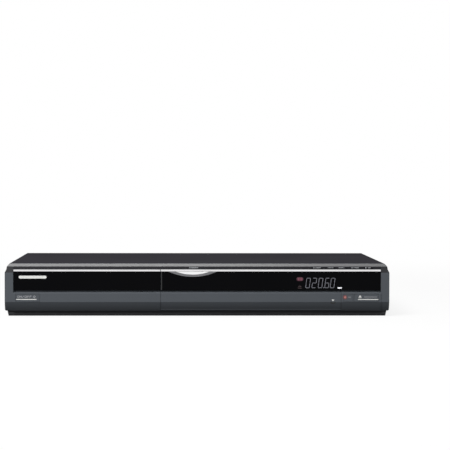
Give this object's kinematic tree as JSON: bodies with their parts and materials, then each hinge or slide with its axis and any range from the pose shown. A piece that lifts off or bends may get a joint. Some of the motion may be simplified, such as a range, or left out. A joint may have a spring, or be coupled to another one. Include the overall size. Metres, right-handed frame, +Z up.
{
  "type": "disc recorder",
  "caption": "Low, wide disc recorder with a motor-driven disc tray, glossy dark window, bright trim line, drop-down socket flap and push buttons.",
  "frame": {"origin": "on the table, under the middle of the bounding box", "axes": "+X to the right seen from the front, +Y to the back, +Z up"},
  "size_m": [0.43, 0.286, 0.0587],
  "materials": {
    "aluminium": "satin",
    "bevel_plastic": "satin",
    "black_plastic": "matte",
    "board_green": "satin",
    "board_tan": "matte",
    "capacitor_sleeve": "satin",
    "chip_black": "matte",
    "chrome_trim": "polished",
    "cover_paint": "satin",
    "dark_strip": "satin",
    "display_glass": "gloss",
    "front_plastic": "satin",
    "gear_plastic": "matte",
    "lamp_plastic": "gloss",
    "lens_glass": "polished",
    "motor_steel": "satin",
    "ribbon": "matte",
    "rim_plastic": "satin",
    "rubber": "matte",
    "screw_steel": "satin",
    "socket_metal": "satin",
    "tin": "satin",
    "transformer_yellow": "matte",
    "tray_plastic": "matte",
    "window_plastic": "gloss",
    "zinc_steel": "satin"
  },
  "bodies": {
    "case": {"ac_inlet": "black_plastic", "bevel_strip": "bevel_plastic", "board_chips": "chip_black", "capacitors": "capacitor_sleeve", "case_screws": "screw_steel", "chassis_pan": "zinc_steel", "chip_heat_sink": "aluminium", "chrome_strip": "chrome_trim", "crescent_lamp": "lamp_plastic", "crescent_rim": "rim_plastic", "display_tube": "display_glass", "display_window": "window_plastic", "drive_cover": "zinc_steel", "drive_frame": "black_plastic", "drive_ribbon": "ribbon", "fan_frame": "black_plastic", "feet": "rubber", "front_bezel": "front_plastic", "front_board": "board_green", "front_jacks": "black_plastic", "hdmi_socket": "tin", "jack_board": "board_tan", "key_strip": "dark_strip", "loading_belt": "rubber", "loading_motor": "motor_steel", "main_board": "board_green", "optical_socket": "black_plastic", "power_board": "board_tan", "rca_blocks": "black_plastic", "rca_shells": "socket_metal", "rear_panel": "zinc_steel", "top_cover": "cover_paint", "transformer": "transformer_yellow", "tuner_module": "tin"},
    "tray": {"disc_tray": "tray_plastic", "tray_rack": "tray_plastic", "tray_front": "window_plastic", "tray_chrome_strip": "chrome_trim"},
    "flap": {"flap": "front_plastic"},
    "power_button": {"power_button": "front_plastic"},
    "record_button": {"record_button": "front_plastic"},
    "open_button": {"open_button": "front_plastic"},
    "traverse": {"traverse_frame": "black_plastic", "spindle_motor": "motor_steel", "guide_rails": "motor_steel", "feed_motor": "motor_steel"},
    "turntable": {"turntable": "rubber"},
    "sled": {"pickup_sled": "aluminium", "pickup_lens": "lens_glass"},
    "lead_screw": {"lead_screw": "motor_steel"},
    "clamper": {"clamper": "gear_plastic"},
    "drive_gear": {"drive_gear": "gear_plastic"},
    "pulley_gear": {"pulley_gear": "gear_plastic"},
    "motor_pulley": {"motor_pulley": "gear_plastic"},
    "fan_impeller": {"fan_impeller": "black_plastic"},
    "key_1": {"key_1": "dark_strip"},
    "key_2": {"key_2": "dark_strip"},
    "key_3": {"key_3": "dark_strip"},
    "key_4": {"key_4": "dark_strip"},
    "key_5": {"key_5": "dark_strip"}
  },
  "joints": [
    {"name": "tray_slide", "type": "slide", "parent": "case", "child": "tray", "axis": [0, -1, 0], "range_m": [0, 0.142]},
    {"name": "flap_hinge", "type": "hinge", "parent": "case", "child": "flap", "pos_m": [0.0598, -0.137, 0.0082], "axis": [1, 0, 0], "range_deg": [0, 90]},
    {"name": "traverse_lift", "type": "hinge", "parent": "case", "child": "traverse", "pos_m": [-0.1235, 0.03, 0.028], "axis": [-1, 0, 0], "range_deg": [0, 4]},
    {"name": "turntable_spin", "type": "hinge", "parent": "traverse", "child": "turntable", "pos_m": [-0.1235, -0.06434, 0.02957], "axis": [0, -0.0698, 0.9976], "continuous": true},
    {"name": "sled_slide", "type": "slide", "parent": "traverse", "child": "sled", "axis": [0, 0.9976, 0.0698], "range_m": [0, 0.036]},
    {"name": "lead_screw_spin", "type": "hinge", "parent": "traverse", "child": "lead_screw", "pos_m": [-0.1575, -0.0411, 0.02689], "axis": [0, 0.9976, 0.0698], "continuous": true},
    {"name": "clamper_spin", "type": "hinge", "parent": "case", "child": "clamper", "pos_m": [-0.1235, -0.064, 0.0475], "axis": [0, 0, 1], "continuous": true},
    {"name": "drive_gear_spin", "type": "hinge", "parent": "case", "child": "drive_gear", "pos_m": [-0.0865, -0.108, 0.03095], "axis": [0, 0, 1], "continuous": true},
    {"name": "pulley_gear_spin", "type": "hinge", "parent": "case", "child": "pulley_gear", "pos_m": [-0.1075, -0.108, 0.02495], "axis": [0, 0, 1], "continuous": true},
    {"name": "motor_pulley_spin", "type": "hinge", "parent": "case", "child": "motor_pulley", "pos_m": [-0.1555, -0.11, 0.02495], "axis": [0, 0, 1], "continuous": true},
    {"name": "fan_spin", "type": "hinge", "parent": "case", "child": "fan_impeller", "pos_m": [0.1396, 0.12475, 0.0334], "axis": [0, 1, 0], "continuous": true},
    {"name": "power_press", "type": "slide", "parent": "case", "child": "power_button", "axis": [0, 1, 0], "range_m": [0, 0.0008], "stiffness_N_per_m": 600},
    {"name": "record_press", "type": "slide", "parent": "case", "child": "record_button", "axis": [0, 1, 0], "range_m": [0, 0.0008], "stiffness_N_per_m": 600},
    {"name": "open_press", "type": "slide", "parent": "case", "child": "open_button", "axis": [0, 1, 0], "range_m": [0, 0.0008], "stiffness_N_per_m": 600},
    {"name": "key_1_press", "type": "slide", "parent": "case", "child": "key_1", "axis": [0, 1, 0], "range_m": [0, 0.0004], "stiffness_N_per_m": 600},
    {"name": "key_2_press", "type": "slide", "parent": "case", "child": "key_2", "axis": [0, 1, 0], "range_m": [0, 0.0004], "stiffness_N_per_m": 600},
    {"name": "key_3_press", "type": "slide", "parent": "case", "child": "key_3", "axis": [0, 1, 0], "range_m": [0, 0.0004], "stiffness_N_per_m": 600},
    {"name": "key_4_press", "type": "slide", "parent": "case", "child": "key_4", "axis": [0, 1, 0], "range_m": [0, 0.0004], "stiffness_N_per_m": 600},
    {"name": "key_5_press", "type": "slide", "parent": "case", "child": "key_5", "axis": [0, 1, 0], "range_m": [0, 0.0004], "stiffness_N_per_m": 600}
  ],
  "couplings": [
    {"joint": "drive_gear_spin", "follows": "tray_slide", "rad_per_m": -66.667},
    {"joint": "pulley_gear_spin", "follows": "tray_slide", "rad_per_m": 166.67},
    {"joint": "motor_pulley_spin", "follows": "tray_slide", "rad_per_m": 466.18},
    {"joint": "lead_screw_spin", "follows": "sled_slide", "rad_per_m": 2094.4}
  ]
}
